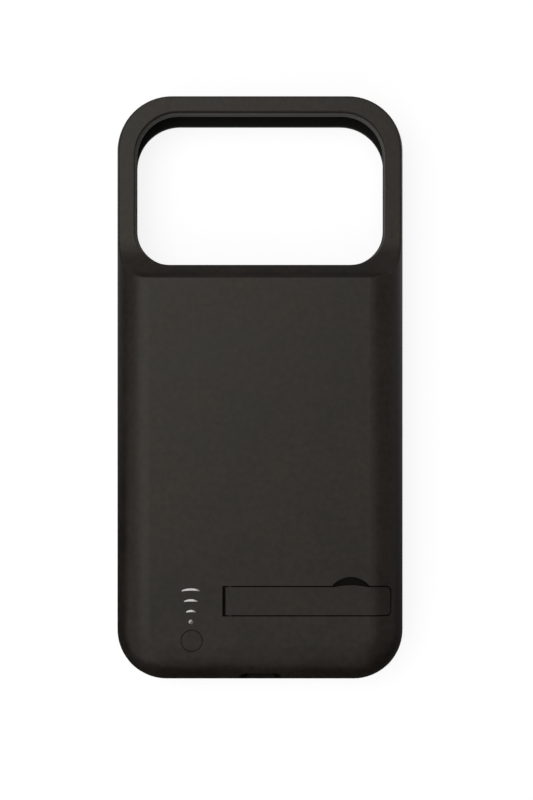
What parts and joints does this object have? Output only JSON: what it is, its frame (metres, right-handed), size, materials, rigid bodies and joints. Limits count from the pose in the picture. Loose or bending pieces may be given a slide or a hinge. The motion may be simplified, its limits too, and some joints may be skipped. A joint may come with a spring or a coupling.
{
  "type": "battery charging case",
  "caption": "Phone case with a built-in battery hump, flush kickstand, charge lights, power button and wide camera opening.",
  "frame": {"origin": "middle of the outline, on the floor that the screen lip lies on", "axes": "+Z out of the back of the case, +Y towards the camera end, +X to the right seen from behind"},
  "size_m": [0.078, 0.159, 0.0188],
  "materials": {
    "shell_plastic": "fine matte soft-touch charcoal",
    "plate_plastic": "satin charcoal",
    "frame_rubber": "matte soft black",
    "stand_plastic": "fine matte charcoal",
    "button_plastic": "fine matte charcoal",
    "pin_steel": "ground",
    "contact_steel": "drawn, satin nickel",
    "guide_white": "milky translucent white",
    "board_green": "solder-mask green",
    "chip_black": "moulded, matt",
    "core_black": "moulded",
    "capacitor_tan": "matt fired",
    "led_white": "clear resin over phosphor",
    "cell_foil": "embossed pouch foil",
    "tape_white": "thin foam tape",
    "lead_red": "wire sleeve",
    "lead_black": "wire sleeve",
    "screw_steel": "zinc plated",
    "inductor_grey": "pressed ferrite"
  },
  "bodies": {
    "case": {"back_shell": "shell_plastic", "inner_plate": "plate_plastic", "bumper_frame": "frame_rubber", "kickstand_pin": "pin_steel", "switch_can": "contact_steel", "light_guide": "guide_white", "indicator_leds": "led_white", "main_board": "board_green", "charge_port_shell": "contact_steel", "charge_port_tongue": "core_black", "riser_board": "board_green", "plug_base": "core_black", "phone_plug_shell": "contact_steel", "phone_plug_core": "core_black", "battery_cell": "cell_foil", "battery_board": "board_green", "battery_tape": "tape_white", "battery_lead_positive": "lead_red", "battery_lead_negative": "lead_black", "power_inductor": "inductor_grey", "charge_chip": "chip_black", "boost_chip": "chip_black", "capacitors": "capacitor_tan", "board_screws": "screw_steel", "plate_screws": "screw_steel"},
    "kickstand": {"kickstand": "stand_plastic"},
    "power_button": {"power_button": "button_plastic", "switch_plunger": "core_black"}
  },
  "joints": [
    {"name": "kickstand_hinge", "type": "hinge", "parent": "case", "child": "kickstand", "pos_m": [-0.00798, -0.058, 0.01755], "axis": [0, -1, 0], "range_deg": [0, 65]},
    {"name": "button_press", "type": "slide", "parent": "case", "child": "power_button", "axis": [0, 0, -1], "range_m": [0, 0.0003], "stiffness_N_per_m": 5000}
  ]
}
